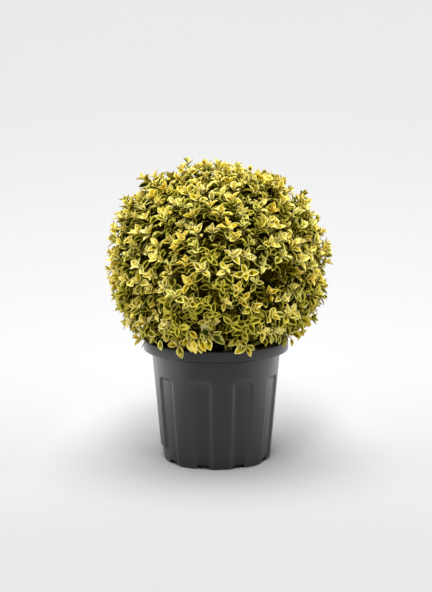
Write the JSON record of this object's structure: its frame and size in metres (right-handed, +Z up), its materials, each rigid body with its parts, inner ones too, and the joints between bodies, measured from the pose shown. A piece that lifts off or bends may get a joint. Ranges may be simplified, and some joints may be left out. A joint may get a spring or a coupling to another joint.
{
  "type": "potted japanese spindle ball",
  "caption": "Clipped ball of gold-edged Japanese spindle growing from compost in a dark ribbed nursery pot with a turned-down rim and drain notches.",
  "frame": {"origin": "on the ground under the middle of the pot", "axes": "+Z up along the pot's axis, -Y towards the viewer of the picture, +X to the viewer's right"},
  "size_m": [0.3963, 0.3979, 0.5172],
  "materials": {
    "pot_plastic": "satin",
    "compost": "matte",
    "bark": "matte",
    "foliage": "satin"
  },
  "bodies": {
    "root": {"nursery_pot": "pot_plastic", "potting_soil": "compost", "main_stem": "bark", "clipped_ball": "foliage"}
  },
  "joints": []
}
